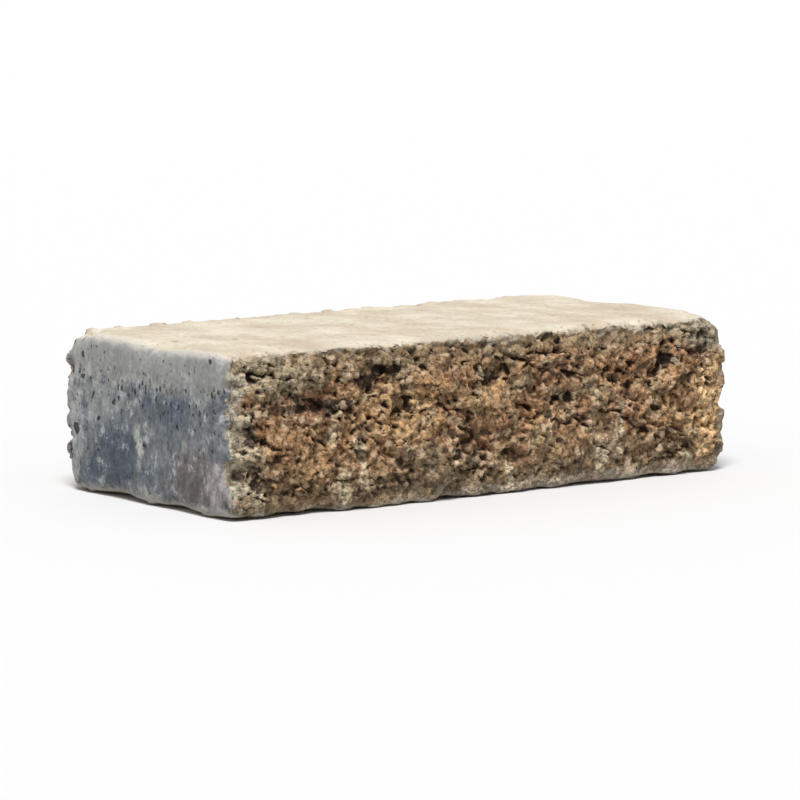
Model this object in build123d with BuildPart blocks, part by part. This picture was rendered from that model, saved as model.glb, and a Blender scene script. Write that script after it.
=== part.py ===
"""Split-face concrete wall block, cast in one piece, split along both long sides and tumbled.

Millimetres, +Z up. The origin is on the bottom bed, in the middle of the footprint.
+X runs along the block, -Y is its front and +Y its back.
"""

import os
from math import ceil, cos, hypot, radians, sin, tau
from random import Random
from typing import NamedTuple

from build123d import *

# The block over the proudest points of its faces
length = 300.0
depth = 158.0
height = 78.0

# Rounding that tumbling leaves on the upright edges, front and back, and round both beds
front_wear = 14.0
back_wear = 6.0
bed_wear = 5.0

# The facets of a split face: their size, how unevenly they stand, and how far they run past the block
facet_pitch = 5.0
facet_relief = 4.2
facet_margin = 15.0

# How far a split face falls back at its rims, and how far in from the rim the fall starts
end_fall = 3.0
end_fall_reach = 40.0
bed_fall = 3.0
bed_fall_reach = 20.0


class Swell(NamedTuple):
    """One broad wave in a split face: half its rise, its length, its heading from +X and its phase."""

    rise: float
    length: float
    heading: float
    phase: float


class Hollow(NamedTuple):
    """A pit in a split face: its place along and up from the middle, its half sizes and its depth."""

    along: float
    up: float
    half_length: float
    half_height: float
    depth: float


class SplitFace(NamedTuple):
    """A long side of the block: -1 at the front or 1 at the back, its swells and pits, and its facets' seed."""

    side: int
    swells: tuple
    hollows: tuple
    seed: int


split_faces = (
    SplitFace(
        side=-1,
        swells=(
            Swell(rise=0.8, length=170.0, heading=15.0, phase=200.0),
            Swell(rise=0.7, length=74.0, heading=-50.0, phase=35.0),
            Swell(rise=0.7, length=31.0, heading=65.0, phase=120.0),
            Swell(rise=0.6, length=23.0, heading=-25.0, phase=300.0),
        ),
        hollows=(
            Hollow(along=-143.0, up=0.0, half_length=9.0, half_height=8.0, depth=6.5),
            Hollow(along=-144.0, up=-18.0, half_length=10.0, half_height=9.0, depth=7.0),
            Hollow(along=-108.0, up=14.0, half_length=28.0, half_height=7.0, depth=5.0),
            Hollow(along=-66.0, up=23.0, half_length=14.0, half_height=8.0, depth=5.0),
            Hollow(along=1.0, up=18.0, half_length=9.0, half_height=8.0, depth=6.5),
            Hollow(along=44.0, up=4.0, half_length=14.0, half_height=7.0, depth=4.5),
            Hollow(along=108.0, up=19.0, half_length=9.0, half_height=8.0, depth=6.5),
        ),
        seed=21,
    ),
    SplitFace(
        side=1,
        swells=(
            Swell(rise=0.8, length=150.0, heading=-20.0, phase=60.0),
            Swell(rise=0.7, length=81.0, heading=55.0, phase=250.0),
            Swell(rise=0.7, length=29.0, heading=-60.0, phase=40.0),
            Swell(rise=0.6, length=24.0, heading=30.0, phase=190.0),
        ),
        hollows=(),
        seed=34,
    ),
)


class Chip(NamedTuple):
    """A corner knocked off flat: the corner, as signs of X, Y and Z, and the legs cut from its edges."""

    corner: tuple
    legs: tuple


chips = (
    Chip(corner=(1, -1, 1), legs=(30.0, 28.0, 19.0)),
    Chip(corner=(-1, 1, 1), legs=(20.0, 28.0, 18.0)),
    Chip(corner=(-1, 1, -1), legs=(13.0, 18.0, 39.0)),
    Chip(corner=(-1, -1, -1), legs=(14.0, 21.0, 11.0)),
    Chip(corner=(1, 1, 1), legs=(18.0, 22.0, 13.0)),
    Chip(corner=(1, -1, -1), legs=(15.0, 22.0, 17.0)),
)


class Spall(NamedTuple):
    """A shallow scallop out of an edge: the edge, as signs with 0 along it, its place from the middle
    of the edge, the radius of the scallop, and its bite in from the square edge."""

    edge: tuple
    place: float
    radius: float
    bite: float


spalls = (
    Spall(edge=(-1, 0, -1), place=26.0, radius=30.0, bite=5.5),
    Spall(edge=(-1, 0, -1), place=-24.0, radius=22.0, bite=4.5),
    Spall(edge=(-1, 0, 1), place=-10.0, radius=60.0, bite=4.5),
    Spall(edge=(-1, 1, 0), place=17.0, radius=20.0, bite=8.5),
    Spall(edge=(-1, 1, 0), place=-14.0, radius=14.0, bite=8.5),
    Spall(edge=(0, -1, 1), place=58.0, radius=45.0, bite=8.5),
    Spall(edge=(0, -1, 1), place=-36.0, radius=60.0, bite=8.0),
    Spall(edge=(0, 1, 1), place=-62.0, radius=50.0, bite=8.5),
    Spall(edge=(0, 1, 1), place=44.0, radius=40.0, bite=8.0),
    Spall(edge=(0, -1, -1), place=60.0, radius=45.0, bite=8.0),
    Spall(edge=(1, 0, 1), place=27.0, radius=35.0, bite=5.0),
)


def on_block(signs):
    """The point of the square block that a set of signs names: a corner, or the middle of an edge."""
    sign_x, sign_y, sign_z = signs
    return Vector(sign_x * length / 2, sign_y * depth / 2, (1 + sign_z) * height / 2)


def chip_plane(chip):
    """The plane along which a corner came off, facing outwards."""
    leg_x, leg_y, leg_z = chip.legs
    sign_x, sign_y, sign_z = chip.corner
    start = on_block(chip.corner) - Vector(sign_x * leg_x, 0, 0)
    return Plane(origin=start, z_dir=(sign_x / leg_x, sign_y / leg_y, sign_z / leg_z))


def spall_centre(spall):
    """The centre of the ball that leaves a spall's scallop."""
    outward = Vector(*spall.edge).normalized()
    along = Vector(*(spall.place if sign == 0 else 0 for sign in spall.edge))
    return on_block(spall.edge) + along + outward * (spall.radius - spall.bite)


def rim_fall(from_rim, reach, fall):
    """How far a split face has fallen back at a distance from its rim."""
    return fall * max(0.0, 1 - from_rim / reach) ** 2


def setback(x, z, face):
    """How far the lie of a split face is behind the block's proudest plane, before its facets."""
    back = rim_fall(length / 2 - abs(x), end_fall_reach, end_fall)
    back += rim_fall(min(z, height - z), bed_fall_reach, bed_fall)
    for swell in face.swells:
        heading = radians(swell.heading)
        run = x * cos(heading) + z * sin(heading)
        back += swell.rise * (1 + cos(tau * run / swell.length + radians(swell.phase)))
    for hollow in face.hollows:
        along = (x - hollow.along) / hollow.half_length
        up = (z - height / 2 - hollow.up) / hollow.half_height
        back += hollow.depth * max(0.0, 1 - hypot(along, up) ** 2)
    return back


def steps(start, end):
    """Evenly spaced places from start to end, no further apart than the facets' pitch."""
    count = ceil((end - start) / facet_pitch)
    return [start + (end - start) * step / count for step in range(count + 1)]


def split_shell(face):
    """The rough surface along which the block was split, as flat facets on a shaken grid."""
    dice = Random(face.seed)
    shake = facet_pitch / 3
    grid = []
    for x in steps(-length / 2 - facet_margin, length / 2 + facet_margin):
        column = []
        for z in steps(-facet_margin, height + facet_margin):
            at_x = x + dice.uniform(-shake, shake)
            at_z = z + dice.uniform(-shake, shake)
            back = setback(at_x, at_z, face) + dice.uniform(0, facet_relief)
            column.append(Vector(at_x, face.side * (depth / 2 - back), at_z))
        grid.append(column)
    facets = []
    for left, right in zip(grid, grid[1:]):
        for a, b, c, d in zip(left, right, right[1:], left[1:]):
            halves = dice.choice((((a, b, c), (a, c, d)), ((a, b, d), (b, c, d))))
            facets += [Face(Wire.make_polygon(half)) for half in halves]
    return Shell(facets)


with BuildPart() as wall_block:
    with BuildSketch():
        Rectangle(length, depth)
    extrude(amount=height)
    uprights = wall_block.edges().filter_by(Axis.Z).group_by(Axis.Y)
    fillet(uprights[0], radius=front_wear)
    fillet(uprights[-1], radius=back_wear)
    fillet(wall_block.faces().filter_by(Axis.Z).edges(), radius=bed_wear)
    for chip in chips:
        split(bisect_by=chip_plane(chip), keep=Keep.BOTTOM)
    for spall in spalls:
        with Locations(spall_centre(spall)):
            Sphere(spall.radius, mode=Mode.SUBTRACT)
    for face in split_faces:
        split(bisect_by=split_shell(face), keep=Keep.ALL)
        add(wall_block.solids().sort_by(SortBy.VOLUME)[-1], mode=Mode.REPLACE)

wall_block.part.label = "wall_block"
os.makedirs("parts", exist_ok=True)
export_step(wall_block.part, "parts/wall_block.step")
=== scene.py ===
"""A split-face concrete wall block: its broken faces, its cast faces and the studio that it stands in.

Metres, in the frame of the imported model: +X along the block, -Y out of its front, +Z up.
"""

from __future__ import annotations

import logging
from collections.abc import Iterable
from dataclasses import dataclass, fields
from enum import Enum
from math import cos, pi, radians, sin, sqrt

import bmesh
import bpy
from mathutils import Matrix, Vector
from mathutils.bvhtree import BVHTree
from mathutils.kdtree import KDTree


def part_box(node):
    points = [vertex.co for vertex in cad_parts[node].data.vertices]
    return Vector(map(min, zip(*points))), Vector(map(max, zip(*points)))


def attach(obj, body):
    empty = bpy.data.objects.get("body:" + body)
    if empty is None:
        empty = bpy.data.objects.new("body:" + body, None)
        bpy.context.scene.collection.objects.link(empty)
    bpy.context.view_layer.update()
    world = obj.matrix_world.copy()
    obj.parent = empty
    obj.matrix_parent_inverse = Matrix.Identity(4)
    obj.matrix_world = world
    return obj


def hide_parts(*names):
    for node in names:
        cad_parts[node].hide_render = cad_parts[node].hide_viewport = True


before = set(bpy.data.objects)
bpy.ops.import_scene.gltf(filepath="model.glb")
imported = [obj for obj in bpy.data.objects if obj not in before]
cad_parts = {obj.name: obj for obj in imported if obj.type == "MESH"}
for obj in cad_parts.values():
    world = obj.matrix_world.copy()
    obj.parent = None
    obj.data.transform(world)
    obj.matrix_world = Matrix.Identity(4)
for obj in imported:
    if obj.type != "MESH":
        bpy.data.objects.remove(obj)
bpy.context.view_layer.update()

log = logging.getLogger("wall_block")

MM = 0.001
GOLDEN_ANGLE = pi * (3 - sqrt(5))
NODE = "wall_block"
SLOT = "tumbled_concrete"

# Where the Mix node has its factor and its two colours, and where the mixed one
MIX_INPUTS = (0, 6, 7)
MIX_OUTPUT = 2

Socket = bpy.types.NodeSocket
Colour = tuple[float, float, float]
Place = tuple[float, float, float]
Fade = tuple[float, float]


class Attribute(str, Enum):
    """What the block's mesh carries to its finish, point by point."""

    LAID = "laid"
    BROKEN = "broken"
    CAVITY = "cavity"
    ARRIS = "arris"


class Blend(str, Enum):
    """The ways in which one colour is laid over another."""

    MIX = "MIX"
    MULTIPLY = "MULTIPLY"


def paint(code: str) -> Colour:
    """Turn a screen colour into the linear one that a shader takes.

    Args:
        code: Six hexadecimal digits, red, green and blue.

    Returns:
        The linear red, green and blue.
    """
    shares = (int(code[place : place + 2], 16) / 255 for place in (0, 2, 4))
    return tuple(share / 12.92 if share <= 0.04045 else ((share + 0.055) / 1.055) ** 2.4 for share in shares)


class NodeBench:
    """A node tree under construction, shader or geometry, with short calls for its common nodes."""

    def __init__(self, tree: bpy.types.NodeTree) -> None:
        """Start from an empty tree."""
        self.tree = tree
        tree.nodes.clear()

    def node(self, kind: str, inputs: dict[str, object] | None = None, **settings: object) -> bpy.types.Node:
        """Add a node.

        Args:
            kind: The node's type name.
            inputs: What its inputs are fed, by name.
            settings: Properties of the node, by name.

        Returns:
            The new node.
        """
        made = self.tree.nodes.new(kind)
        for name, value in settings.items():
            setattr(made, name, value)
        for name, value in (inputs or {}).items():
            self.feed(made.inputs[name], value)
        return made

    def feed(self, socket: Socket, value: object) -> None:
        """Link an input to an output, or set the input's own value.

        Args:
            socket: The input.
            value: An output socket, a number, a vector or a colour.
        """
        if isinstance(value, Socket):
            self.tree.links.new(value, socket)
        elif socket.type == "RGBA":
            socket.default_value = (*value, 1.0)
        else:
            socket.default_value = value

    def fill(self, sockets: Iterable[Socket], values: Iterable[object]) -> None:
        """Feed inputs in order."""
        for socket, value in zip(sockets, values):
            self.feed(socket, value)

    def math(self, operation: str, *values: object) -> Socket:
        """Work out a number from one, two or three others.

        Args:
            operation: The Math node's operation.
            values: Sockets or numbers, in order.

        Returns:
            The result.
        """
        made = self.node("ShaderNodeMath", operation=operation)
        self.fill(made.inputs, values)
        return made.outputs[0]

    def vector(self, operation: str, *values: object) -> Socket:
        """Work out a vector from one or two others.

        Args:
            operation: The Vector Math node's operation.
            values: Sockets or vectors, in order; for SCALE the second is a number.

        Returns:
            The vector, or the number where the operation gives one.
        """
        made = self.node("ShaderNodeVectorMath", operation=operation)
        self.fill([made.inputs[0], made.inputs["Scale"]] if operation == "SCALE" else made.inputs, values)
        return made.outputs["Value" if operation in ("DOT_PRODUCT", "LENGTH") else "Vector"]

    def parts(self, vector: Socket) -> tuple[Socket, Socket, Socket]:
        """Take a vector apart into its x, y and z."""
        return tuple(self.node("ShaderNodeSeparateXYZ", {"Vector": vector}).outputs)

    def join(self, x: object, y: object, z: object) -> Socket:
        """Make a vector of x, y and z."""
        return self.node("ShaderNodeCombineXYZ", {"X": x, "Y": y, "Z": z}).outputs[0]

    def ease(
        self, value: object, low: object, high: object, start: object = 0.0, end: object = 1.0
    ) -> Socket:
        """Ease from one number to another while a value goes from low to high.

        Args:
            value: The value that is followed.
            low: Where the easing starts.
            high: Where it ends, above low.
            start: The result at low and below.
            end: The result at high and above.

        Returns:
            The eased number.
        """
        made = self.node("ShaderNodeMapRange", interpolation_type="SMOOTHSTEP")
        self.fill(made.inputs, (value, low, high, start, end))
        return made.outputs[0]

    def blend(self, factor: object, below: object, above: object, how: Blend = Blend.MIX) -> Socket:
        """Lay one colour over another.

        Args:
            factor: How much of the upper colour shows.
            below: The lower colour.
            above: The upper colour.
            how: The way of mixing.

        Returns:
            The mixed colour.
        """
        made = self.node("ShaderNodeMix", data_type="RGBA", blend_type=how.value)
        self.fill([made.inputs[place] for place in MIX_INPUTS], (factor, below, above))
        return made.outputs[MIX_OUTPUT]

    def noise(self, place: Socket, size: object, detail: float = 2.0, roughness: float = 0.5) -> Socket:
        """Cloudy noise about 0.5.

        Args:
            place: Where it is read.
            size: The size of its largest clouds.
            detail: How many finer layers it has.
            roughness: How strong each finer layer is beside the last.

        Returns:
            The noise.
        """
        inputs = {"Vector": place, "Scale": self.inverse(size), "Detail": detail, "Roughness": roughness}
        return self.node("ShaderNodeTexNoise", inputs).outputs[0]

    def cells(self, place: Socket, size: object, flat: bool = False) -> bpy.types.Node:
        """Cut space, or a plane, into irregular cells.

        Args:
            place: Where they are read.
            size: Their size.
            flat: Whether the x and y of the place are all that counts.

        Returns:
            The Voronoi node, whose outputs give each cell's distance, colour and position.
        """
        inputs = {"Vector": place, "Scale": self.inverse(size)}
        return self.node("ShaderNodeTexVoronoi", inputs, voronoi_dimensions="2D" if flat else "3D")

    def drawn_out(self, place: Socket, times: float, lean: float = 0.0) -> Socket:
        """Squeeze places along x, so that what is read there is longer that way.

        Args:
            place: The places.
            times: How much longer it is.
            lean: How steeply it falls towards +x, in radians.

        Returns:
            The squeezed places.
        """
        if lean:
            inputs = {"Vector": place, "Angle": -lean}
            place = self.node("ShaderNodeVectorRotate", inputs, rotation_type="Y_AXIS").outputs[0]
        return self.vector("MULTIPLY", place, (1 / times, 1.0, 1.0))

    def inverse(self, size: object) -> object:
        """One over a size, as a number or a socket."""
        return self.math("DIVIDE", 1.0, size) if isinstance(size, Socket) else 1.0 / size

    def warp(self, place: Socket, size: object, reach: object) -> Socket:
        """Push places about, so that what is read there loses its even outline.

        Args:
            place: The places.
            size: The size of the noise that pushes them.
            reach: How far they move.

        Returns:
            The moved places.
        """
        push = self.node("ShaderNodeTexNoise", {"Vector": place, "Scale": self.inverse(size)})
        centred = self.vector("SUBTRACT", push.outputs["Color"], (0.5, 0.5, 0.5))
        return self.vector("ADD", place, self.vector("SCALE", centred, reach))


@dataclass(frozen=True)
class Grain:
    """One size of broken grain in the split concrete.

    Attributes:
        size: How large the grains are.
        rise: How far one stands proud of the next.
        tilt: How far the broken face of a grain leans over its width.
        seed: Where in the noise it is read.
        warp: How far the outlines are pushed about, as a share of the size.
    """

    size: float
    rise: float
    tilt: float
    seed: Place
    warp: float = 0.8

    def cells(self, bench: NodeBench, laid: Socket) -> tuple[bpy.types.Node, Socket]:
        """The cells of the grains, the same for the relief and for the colours.

        Args:
            bench: The tree that they are made in.
            laid: Places on the block before its relief.

        Returns:
            The Voronoi node, and the places that it reads.
        """
        reach = self.warp * self.size
        moved = bench.warp(bench.vector("ADD", laid, self.seed), reach, reach)
        return bench.cells(moved, self.size), moved

    def height(self, bench: NodeBench, laid: Socket) -> Socket:
        """The height of the broken grains about their mean.

        Args:
            bench: The geometry tree.
            laid: Places on the block before its relief.

        Returns:
            The height.
        """
        cells, moved = self.cells(bench, laid)
        chance = bench.vector("SUBTRACT", cells.outputs["Color"], (0.5, 0.5, 0.5))
        step = bench.vector("DOT_PRODUCT", chance, (self.rise, 0.0, self.rise))
        from_middle = bench.vector("SUBTRACT", moved, cells.outputs["Position"])
        lean = bench.vector("DOT_PRODUCT", chance, from_middle)
        return bench.math("ADD", step, bench.math("MULTIPLY", lean, 2 * self.tilt / self.size))


@dataclass(frozen=True)
class Voids:
    """The holes that the pressed mix leaves between its grains.

    Attributes:
        spacing: How far apart they are.
        largest: The radius of the largest.
        share: The share of places that have one.
        flatness: How much longer they are along x than they are across it.
        seed: Where in the noise they are read.
        depth: The depth of the largest, for those that the relief has.
        lean: How steeply they fall towards +x, in radians.
        flat: Whether they are cut in a plane, as pores are, or through the mix.
        warp_size: The size of the noise that pushes their outlines about, as a share of the spacing.
        warp: How far it pushes them, as a share of the spacing.
    """

    spacing: float
    largest: float
    share: float
    flatness: float
    seed: Place
    depth: float = 0.0
    lean: float = 0.0
    flat: bool = False
    warp_size: float = 0.45
    warp: float = 0.5

    def hollow(self, bench: NodeBench, laid: Socket) -> Socket:
        """How much of a void there is at each place.

        Args:
            bench: The tree that it is made in.
            laid: Places on the block before its relief.

        Returns:
            From 0 outside the voids to 1 in the middle of the largest.
        """
        read_at = bench.vector("ADD", laid, self.seed)
        moved = bench.warp(read_at, self.warp_size * self.spacing, self.warp * self.spacing)
        cells = bench.cells(bench.drawn_out(moved, self.flatness, self.lean), self.spacing, self.flat)
        chance = bench.parts(cells.outputs["Color"])[0]
        radius = bench.ease(chance, 1 - self.share, 1.0, 0.001, self.largest / self.spacing)
        fill = bench.ease(bench.math("DIVIDE", cells.outputs["Distance"], radius), 0.35, 1.0, 1.0, 0.0)
        return bench.math("MULTIPLY", fill, bench.ease(radius, 0.0, self.largest / self.spacing))


@dataclass(frozen=True)
class Creases:
    """The winding cracks along which the split ran between the grains.

    Attributes:
        spacing: How far apart they are.
        width: How wide they are, as a share of the noise that they follow.
        depth: Their depth.
        flatness: How much longer they run along the block than up it.
        seed: Where in the noise they are read.
        lean: How steeply they fall towards +x, in radians.
        opening: The size of the stretches where they open and close, as a share of the spacing.
    """

    spacing: float
    width: float
    depth: float
    flatness: float
    seed: Place
    lean: float = 0.0
    opening: float = 0.9

    def hollow(self, bench: NodeBench, laid: Socket) -> Socket:
        """How much of a crease there is at each place.

        Args:
            bench: The tree that it is made in.
            laid: Places on the block before its relief.

        Returns:
            From 0 beside the creases to 1 in their middle.
        """
        flat = bench.drawn_out(bench.vector("ADD", laid, self.seed), self.flatness, self.lean)
        run = bench.math("SUBTRACT", bench.noise(flat, self.spacing, detail=3.0, roughness=0.55), 0.5)
        crack = bench.ease(bench.math("ABSOLUTE", run), 0.0, self.width, 1.0, 0.0)
        stretches = bench.noise(bench.vector("ADD", flat, self.seed), self.opening * self.spacing)
        return bench.math("MULTIPLY", crack, bench.ease(stretches, 0.48, 0.6))


SPLIT_LEAN = radians(20)
COARSE = Grain(size=6.0 * MM, rise=1.3 * MM, tilt=1.5 * MM, seed=(0.31, 0.0, 0.17))
FINE = Grain(size=3.0 * MM, rise=1.2 * MM, tilt=1.3 * MM, seed=(0.0, 0.53, 0.29))
GAPS = Voids(
    6.5 * MM, largest=2.4 * MM, share=0.35, flatness=2.3, seed=(0.7, 0.2, 0.0),
    depth=2.2 * MM, lean=SPLIT_LEAN,
)
HOLES = Voids(
    17 * MM, largest=4.4 * MM, share=0.45, flatness=2.4, seed=(0.0, 0.4, 0.9),
    depth=4.2 * MM, lean=SPLIT_LEAN,
)
CREASES = Creases(15 * MM, width=0.046, depth=3.1 * MM, flatness=2.1, seed=(0.2, 0.9, 0.5), lean=SPLIT_LEAN)
FINE_PORES = Voids(4.2 * MM, largest=0.9 * MM, share=0.5, flatness=0.9, seed=(0.2, 0.1, 0.0), flat=True)
COARSE_PORES = Voids(15 * MM, largest=2.0 * MM, share=0.35, flatness=0.9, seed=(0.5, 0.3, 0.0), flat=True)
DASHES = Voids(5.0 * MM, largest=1.9 * MM, share=0.7, flatness=0.6, seed=(0.1, 0.6, 0.0), flat=True)
EDGE_PITS = Voids(9 * MM, largest=3.8 * MM, share=0.6, flatness=1.0, seed=(0.3, 0.2, 0.0), flat=True)


@dataclass(frozen=True)
class SplitRelief:
    """The relief that splitting and tumbling leave, as a Geometry Nodes tree.

    Attributes:
        grains: The sizes of broken grain.
        voids: The holes and the creases between them.
        lip_height: The smoother lip that the mould leaves along the bottom.
        lip_grain: The share of the grain that is left on the lip.
        lip_cloud: The size of the noise that the top of the lip follows.
        lip_stray: How far up that takes it.
        proudest: How high the tips of the grains stand before they are blunted.
        blunting: How gently they are.
        rim: How far the change from cast to broken face takes.
        stray: How far that change strays from the arris.
        stray_middle: The noise at which it doesn't stray, below 0.5 where more of the cast face is broken.
        dent: How far the cast faces dip.
        dent_size: How wide their dips are.
        wear: How far from an arris tumbling has worn it.
        worn_grain: The share of the grain that is left at a worn arris.
        nick_size: The size of the nicks in the arrises.
        nick_depth: The depth of the nicks.
        nick_onset: The noise at which a nick starts.
        nick_whole: The noise at which it has its whole depth.
        foot: How far up from the floor the nicks are shallower.
        foot_nicks: The share of their depth that is left at the floor.
        seed: Where in the noise the tree is read.
    """

    grains: tuple[Grain, ...] = (COARSE, FINE)
    voids: tuple[Voids | Creases, ...] = (GAPS, HOLES, CREASES)
    lip_height: float = 6 * MM
    lip_grain: float = 0.35
    lip_cloud: float = 18 * MM
    lip_stray: float = 7 * MM
    proudest: float = 0.9 * MM
    blunting: float = 1.4 * MM
    rim: float = 1.6 * MM
    stray: float = 26.0 * MM
    stray_middle: float = 0.42
    dent: float = 0.9 * MM
    dent_size: float = 32 * MM
    wear: float = 10.0 * MM
    worn_grain: float = 0.18
    nick_size: float = 10.0 * MM
    nick_depth: float = 4.5 * MM
    nick_onset: float = 0.4
    nick_whole: float = 0.66
    foot: float = 14.0 * MM
    foot_nicks: float = 0.15
    seed: float = 4.0

    def inputs(self) -> dict[str, float]:
        """The tree's number inputs, by name: each number among the attributes."""
        values = {item.name.replace("_", " ").title(): getattr(self, item.name) for item in fields(self)}
        return {name: value for name, value in values.items() if isinstance(value, float)}

    def tree(self) -> bpy.types.NodeTree:
        """Build the tree, with its sizes as named inputs.

        Returns:
            The tree.
        """
        tree = bpy.data.node_groups.new("split_relief", "GeometryNodeTree")
        tree.interface.new_socket("Geometry", in_out="INPUT", socket_type="NodeSocketGeometry")
        for name in self.inputs():
            tree.interface.new_socket(name, in_out="INPUT", socket_type="NodeSocketFloat")
        tree.interface.new_socket("Finish", in_out="INPUT", socket_type="NodeSocketMaterial")
        tree.interface.new_socket("Geometry", in_out="OUTPUT", socket_type="NodeSocketGeometry")
        bench = NodeBench(tree)
        given = bench.node("NodeGroupInput").outputs
        laid = bench.node("GeometryNodeInputPosition").outputs[0]
        facing = bench.node("GeometryNodeInputNormal").outputs[0]
        read_at = bench.vector("ADD", laid, bench.join(given["Seed"], 0.0, 0.0))

        arris = {"Name": Attribute.ARRIS.value}
        inside = bench.node("GeometryNodeInputNamedAttribute", arris, data_type="FLOAT").outputs["Attribute"]
        ragged = bench.noise(read_at, given["Nick Size"], detail=3.0)
        stray = bench.math("SUBTRACT", ragged, given["Stray Middle"])
        broken = bench.ease(bench.math("MULTIPLY_ADD", stray, given["Stray"], inside), 0.0, given["Rim"])
        relief = self.broken_height(bench, read_at, given)
        left = bench.ease(inside, 0.0, given["Wear"], given["Worn Grain"], 1.0)
        relief = bench.math("MULTIPLY", relief, left)
        nicks = self.nicks(bench, read_at, inside, given)
        height = bench.math("SUBTRACT", bench.math("MULTIPLY", relief, broken), nicks)
        dents = bench.math("MULTIPLY", bench.noise(read_at, given["Dent Size"], detail=2.0), given["Dent"])
        height = bench.math("SUBTRACT", height, dents)

        store = "GeometryNodeStoreNamedAttribute"
        steps = (
            (store, {"Name": Attribute.LAID.value, "Value": laid}, {"data_type": "FLOAT_VECTOR"}),
            (store, {"Name": Attribute.BROKEN.value, "Value": broken}, {"data_type": "FLOAT"}),
            ("GeometryNodeSetPosition", {"Offset": bench.vector("SCALE", facing, height)}, {}),
            ("GeometryNodeSetShadeSmooth", {}, {}),
            ("GeometryNodeRealizeInstances", {}, {}),
            ("GeometryNodeSetMaterial", {"Material": given["Finish"]}, {}),
        )
        geometry = given["Geometry"]
        for kind, inputs, settings in steps:
            geometry = bench.node(kind, {"Geometry": geometry, **inputs}, **settings).outputs["Geometry"]
        bench.node("NodeGroupOutput", {"Geometry": geometry})
        return tree

    def broken_height(self, bench: NodeBench, read_at: Socket, given: bpy.types.NodeOutputs) -> Socket:
        """The grains and the voids of a broken face, weaker along its bottom lip.

        Args:
            bench: The tree.
            read_at: Where the noise is read.
            given: The tree's inputs.

        Returns:
            The height about the broken face's mean.
        """
        height = self.grains[0].height(bench, read_at)
        for grain in self.grains[1:]:
            height = bench.math("ADD", height, grain.height(bench, read_at))
        height = bench.math("SMOOTH_MIN", height, given["Proudest"], given["Blunting"])
        for void in self.voids:
            height = bench.math("MULTIPLY_ADD", void.hollow(bench, read_at), -void.depth, height)
        stray = bench.math("MULTIPLY", bench.noise(read_at, given["Lip Cloud"]), given["Lip Stray"])
        above = bench.math("SUBTRACT", bench.parts(read_at)[2], stray)
        left = bench.ease(above, 0.0, given["Lip Height"], given["Lip Grain"], 1.0)
        return bench.math("MULTIPLY", height, left)

    @staticmethod
    def nicks(bench: NodeBench, read_at: Socket, inside: Socket, given: bpy.types.NodeOutputs) -> Socket:
        """The depth of the nicks along the worn arrises.

        Args:
            bench: The tree.
            read_at: Where the noise is read.
            inside: How far the nearest arris is, negative on the cast side.
            given: The tree's inputs.

        Returns:
            Their depth.
        """
        worn = bench.ease(bench.math("ABSOLUTE", inside), 0.0, given["Wear"], 1.0, 0.0)
        ragged = bench.noise(read_at, given["Nick Size"], detail=3.0)
        chipped = bench.ease(ragged, given["Nick Onset"], given["Nick Whole"])
        standing = bench.ease(bench.parts(read_at)[2], 0.0, given["Foot"], given["Foot Nicks"], 1.0)
        depth = bench.math("MULTIPLY", standing, given["Nick Depth"])
        return bench.math("MULTIPLY", bench.math("MULTIPLY", worn, chipped), depth)

    def cut(self, piece: bpy.types.Object, finish: bpy.types.Material) -> None:
        """Give a piece the relief, and leave it as a plain mesh.

        Args:
            piece: The block, with its mesh fine enough for the grains.
            finish: The material that the tree sets.
        """
        modifier = piece.modifiers.new("split_relief", "NODES")
        modifier.node_group = self.tree()
        values = {**self.inputs(), "Finish": finish}
        for item in modifier.node_group.interface.items_tree:
            if item.in_out == "INPUT" and item.name in values:
                modifier[item.identifier] = values[item.name]
        evaluated = piece.evaluated_get(bpy.context.evaluated_depsgraph_get())
        plain = bpy.data.meshes.new_from_object(evaluated)
        piece.modifiers.remove(modifier)
        spare = piece.data
        piece.data = plain
        bpy.data.meshes.remove(spare)


@dataclass(frozen=True)
class Clouds:
    """Cloudy noise of one kind.

    Attributes:
        size: The size of its largest clouds.
        detail: How many finer layers it has.
        roughness: How strong each finer layer is beside the last.
        seed: Where in the noise it is read.
        squeeze: How much closer together its places are read along x, y and z.
    """

    size: float
    detail: float = 2.0
    roughness: float = 0.5
    seed: Place = (0.0, 0.0, 0.0)
    squeeze: Place = (1.0, 1.0, 1.0)

    def read(self, bench: NodeBench, laid: Socket) -> Socket:
        """The noise, about 0.5, at places on the block before its relief."""
        place = bench.vector("MULTIPLY", bench.vector("ADD", laid, self.seed), self.squeeze)
        return bench.noise(place, self.size, self.detail, self.roughness)


# What the colours, the sheen and the fine relief follow
SPLIT_CLOUDS = Clouds(40 * MM, detail=4.0, roughness=0.6)
SPLIT_TINTS = Clouds(11 * MM, detail=3.0, roughness=0.6, seed=(0.6, 0.3, 0.2))
SPLIT_GRIT = Clouds(1.9 * MM, detail=3.0, roughness=0.7)
SPLIT_EDGE = Clouds(3 * MM)
LIME_RUNS = Clouds(8 * MM, detail=3.0, squeeze=(1.0, 1.0, 0.2))
RUB_AND_HIGHLIGHT_PATCHES = Clouds(7 * MM, detail=4.0, roughness=0.6)
BLOTCH_EDGE = Clouds(8 * MM, detail=6.0, roughness=0.75)
SHEEN = Clouds(9 * MM)
BED_EDGE = Clouds(7 * MM, detail=3.0)
BED_CLOUDS = Clouds(26 * MM, detail=5.0, roughness=0.6)
BED_TINGE = Clouds(22 * MM, detail=4.0, squeeze=(1.0, 0.45, 1.0))
BED_SPECKLE = Clouds(2.6 * MM, detail=5.0, roughness=0.7)
RIM_EDGE = Clouds(6 * MM, detail=4.0, roughness=0.6)
END_CLOUDS = Clouds(24 * MM, detail=6.0, roughness=0.68)
END_MOTTLE = Clouds(9 * MM, detail=6.0, roughness=0.75, seed=(0.4, 0.2, 0.1))
END_STREAKS = Clouds(8 * MM, detail=6.0, roughness=0.75, squeeze=(1.0, 1.0, 0.7))
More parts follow.
